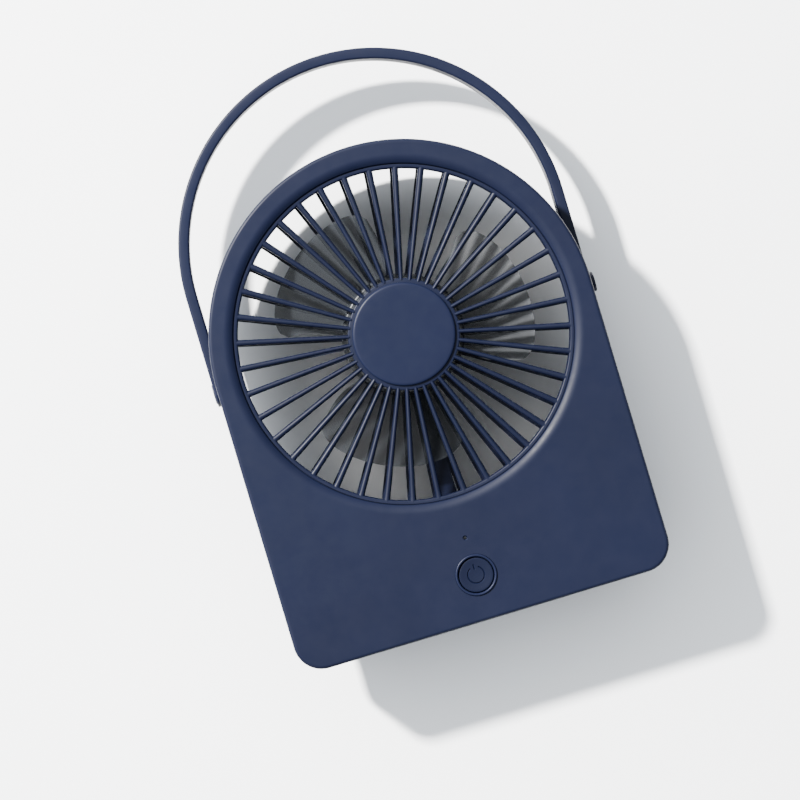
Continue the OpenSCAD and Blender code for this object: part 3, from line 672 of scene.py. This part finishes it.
def base_pad():
    profile = ((11.45, 0.0), (11.7, 0.08), (11.85, 0.35), (11.85, 1.6))
    mesh = mesh_from("base_pad_visual", *capped([stadium_row(PAD_SPAN, r, z) for r, z in profile]))
    grooves = [groove(GROOVE_STEP * k) for k in range(-3, 4)]
    add_piece("base_pad_v", cut(mesh, grooves), "case", "base_pad", "pad_rubber")


for build in (front_shell, rear_shell, front_grille, grille_cap, rear_grille, impeller, handle, pivot_caps,
              power_button, button_bezel, screw_plugs, base_pad):
    build()


# ---------- stage, light and camera ----------

def stage_plane():
    """A plain pale surface behind the fan. Seen from behind it isn't there, so the back can be looked at."""
    y, low, high = STAGE_Y, STAGE_LOW, STAGE_HIGH
    corners = [(low, y, low), (high, y, low), (high, y, high), (low, y, high)]
    mesh = bpy.data.meshes.new("stage_plane")
    mesh.from_pydata([(a * MM, b * MM, c * MM) for a, b, c in corners], [], [(0, 1, 2, 3)])
    plane = bpy.data.objects.new("stage_plane", mesh)
    bpy.context.scene.collection.objects.link(plane)
    material, tree, shader = new_material("stage_paper")
    clouds = spread(tree, noise(tree, 7.0, 2.0), 0.0, 1.0)
    tone = mix_colours(tree, clouds, (0.86, 0.87, 0.885), (0.9, 0.905, 0.915))
    tree.links.new(tone, shader.inputs["Base Color"])
    shader.inputs["Roughness"].default_value = 0.9
    shader.inputs["Specular IOR Level"].default_value = 0.1
    clear = tree.nodes.new("ShaderNodeBsdfTransparent")
    geometry = tree.nodes.new("ShaderNodeNewGeometry")
    mixer = tree.nodes.new("ShaderNodeMixShader")
    tree.links.new(geometry.outputs["Backfacing"], mixer.inputs["Fac"])
    tree.links.new(shader.outputs["BSDF"], mixer.inputs[1])
    tree.links.new(clear.outputs["BSDF"], mixer.inputs[2])
    tree.links.new(mixer.outputs["Shader"], tree.nodes["Material Output"].inputs["Surface"])
    mesh.materials.append(material)
    plane.visible_shadow = False


def diffuser():
    """A lighting disc of tracing paper behind the rear grille, which the camera doesn't see. It dims and
    evens out the light that falls through the grilles onto the surface behind, and isn't part of the fan."""
    mesh = mesh_from("diffuser", *lathe([(0, DIFFUSER_Y), (DIFFUSER_R, DIFFUSER_Y)], closed=False))
    material, tree, _ = new_material("tracing_paper")
    paper = tree.nodes.new("ShaderNodeBsdfTranslucent")
    paper.inputs["Color"].default_value = (DIFFUSER_TONE, DIFFUSER_TONE, DIFFUSER_TONE, 1.0)
    tree.links.new(paper.outputs["BSDF"], tree.nodes["Material Output"].inputs["Surface"])
    mesh.materials.append(material)
    disc = bpy.data.objects.new("diffuser", mesh)
    bpy.context.scene.collection.objects.link(disc)
    disc.visible_camera = False
    disc.visible_glossy = False


def area_light(name, towards, distance, size, energy, colour=(1.0, 1.0, 1.0)):
    """A square soft light that shines at the fan from the given direction."""
    data = bpy.data.lights.new(name, "AREA")
    data.size = size
    data.energy = energy
    data.color = colour
    lamp = bpy.data.objects.new(name, data)
    aim = Vector((0.0, 0.0, HUB_Z * MM))
    direction = Vector(towards).normalized()
    lamp.location = aim + direction * distance
    lamp.rotation_euler = direction.to_track_quat("Z", "Y").to_euler()
    bpy.context.scene.collection.objects.link(lamp)


stage_plane()
diffuser()
area_light("key", KEY_TOWARDS, 2.6, 0.16, 530.0, (1.0, 0.985, 0.96))
area_light("rear_fill", (0.5, 0.75, 0.45), 2.0, 1.2, 60.0)


def studio_world():
    """Soft surroundings, brightest on the key light's side."""
    world = bpy.data.worlds.new("studio")
    world.use_nodes = True
    tree = world.node_tree
    coords = tree.nodes.new("ShaderNodeTexCoord")
    facing = tree.nodes.new("ShaderNodeVectorMath")
    facing.operation = "DOT_PRODUCT"
    facing.inputs[1].default_value = Vector(KEY_TOWARDS).normalized()
    tree.links.new(coords.outputs["Generated"], facing.inputs[0])
    background = tree.nodes["Background"]
    background.inputs["Color"].default_value = (0.9, 0.95, 1.0, 1.0)
    strength = spread(tree, facing.outputs["Value"], WORLD_LOW, WORLD_HIGH, 0.1, 1.0)
    tree.links.new(strength, background.inputs["Strength"])
    bpy.context.scene.world = world


studio_world()


def make_camera():
    """Camera nearly square to the front with a long lens, rolled so that the fan leans to the left."""
    forward = Vector(CAMERA_FORWARD).normalized()
    level = forward.cross(Vector((0, 0, 1))).normalized()
    upright = level.cross(forward)
    hub = Vector((0.0, Y_FRONT * MM, HUB_Z * MM))
    place = hub - forward * CAMERA_AWAY - level * CAMERA_LEFT - upright * CAMERA_DOWN
    roll = math.radians(CAMERA_ROLL)
    right = level * math.cos(roll) - upright * math.sin(roll)
    up = level * math.sin(roll) + upright * math.cos(roll)
    data = bpy.data.cameras.new("camera")
    data.sensor_width = 36.0
    data.lens = CAMERA_LENS
    data.clip_start = 0.05
    data.clip_end = 20.0
    camera = bpy.data.objects.new("camera", data)
    matrix = Matrix((right, up, -forward)).transposed().to_4x4()
    matrix.translation = place
    camera.matrix_world = matrix
    bpy.context.scene.collection.objects.link(camera)
    bpy.context.scene.camera = camera


make_camera()
